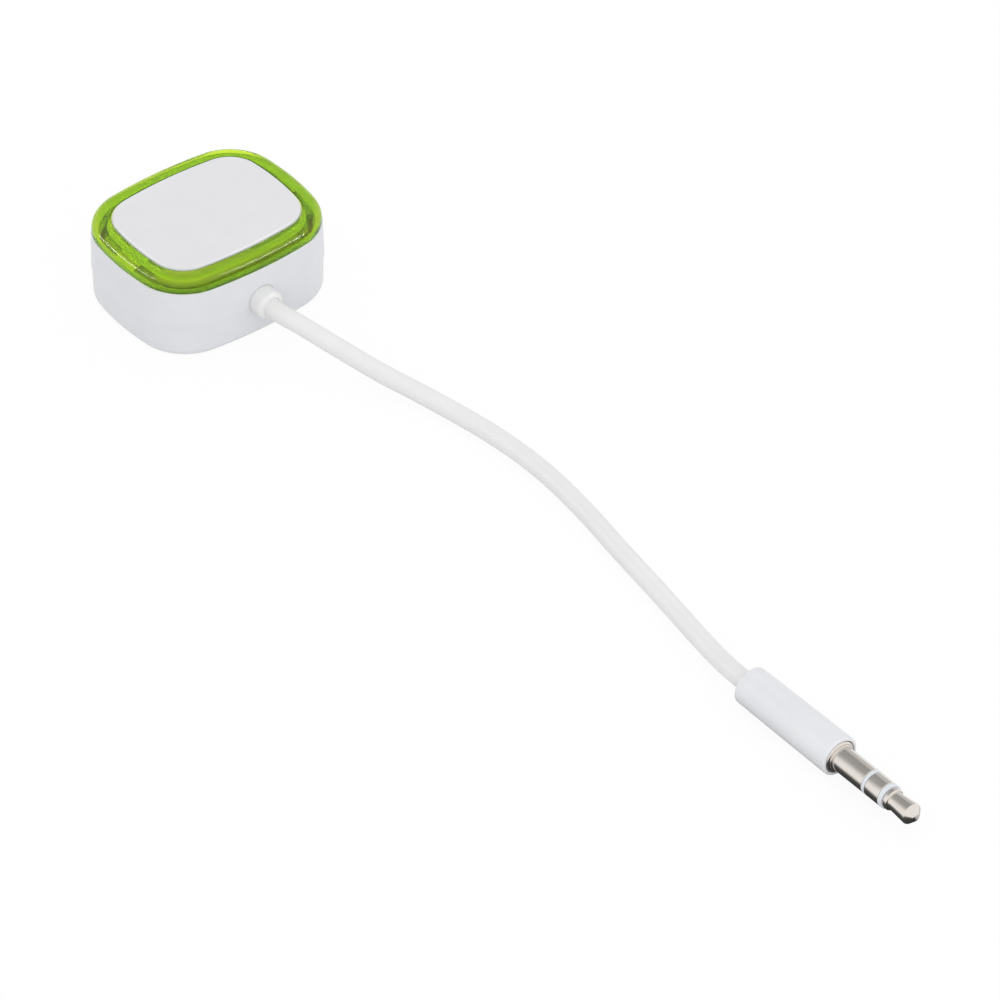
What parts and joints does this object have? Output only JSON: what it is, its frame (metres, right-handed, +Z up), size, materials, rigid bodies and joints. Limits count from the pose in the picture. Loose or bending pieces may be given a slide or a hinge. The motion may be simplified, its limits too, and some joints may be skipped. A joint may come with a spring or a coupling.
{
  "type": "bluetooth audio receiver",
  "caption": "Small rounded white box with a green translucent light ring round a press cap, and a short captive cord ending in a stereo audio plug.",
  "frame": {"origin": "centre of the base of the case, on the surface it stands on", "axes": "+X along the longer side of the case, +Z up through the press cap, and the cord leaves the -Y face"},
  "size_m": [0.0304, 0.1576, 0.0132],
  "materials": {
    "case_white": "satin moulded white",
    "cap_white": "satin moulded white",
    "ring_lime": "polished translucent lime",
    "grip_white": "satin moulded white",
    "cord_white": "soft satin white",
    "nickel": "bright nickel plate",
    "insulator": "white",
    "steel": "plated",
    "board_green": "solder mask",
    "chip_black": "moulded epoxy",
    "ferrite": "dull ferrite",
    "ceramic": "ceramic",
    "capacitor_tan": "ceramic",
    "lamp": "clear lens over phosphor",
    "cell_foil": "pouch foil",
    "tape_grey": "foam tape",
    "lead_red": "wire insulation",
    "lead_black": "moulded black",
    "copper": "bare stranded copper"
  },
  "bodies": {
    "case": {"bottom_cover": "case_white", "upper_shell": "case_white", "light_ring": "ring_lime", "main_board": "board_green", "board_screw_left": "steel", "board_screw_right": "steel", "bluetooth_chip": "chip_black", "clock_crystal": "steel", "chip_antenna": "ceramic", "charger_chip": "chip_black", "power_inductor": "ferrite", "coupling_capacitor_left": "capacitor_tan", "coupling_capacitor_right": "capacitor_tan", "lamp_front_left": "lamp", "lamp_front_right": "lamp", "lamp_back_left": "lamp", "lamp_back_right": "lamp", "switch_body": "chip_black", "usb_socket": "steel", "usb_tongue": "lead_black", "battery_cell": "cell_foil", "battery_tape": "tape_grey", "battery_lead_plus": "lead_red", "battery_lead_minus": "lead_black", "audio_lead_left": "insulator", "audio_lead_right": "lead_red", "audio_lead_ground": "copper", "cord_boot": "cord_white", "audio_cord": "cord_white", "plug_grip": "grip_white", "plug_sleeve": "nickel", "plug_rear_insulator": "insulator", "plug_ring": "nickel", "plug_front_insulator": "insulator", "plug_tip": "nickel"},
    "cap": {"button_cap": "cap_white"},
    "plunger": {"switch_plunger": "lead_black"}
  },
  "joints": [
    {"name": "button_press", "type": "slide", "parent": "case", "child": "cap", "axis": [0, 0, -1], "range_m": [0, 0.0003], "stiffness_N_per_m": 1500, "springref_m": -0.0007},
    {"name": "plunger_press", "type": "slide", "parent": "case", "child": "plunger", "axis": [0, 0, -1], "range_m": [0, 0.0004]}
  ],
  "couplings": [
    {"joint": "plunger_press", "follows": "button_press", "ratio": 1}
  ]
}
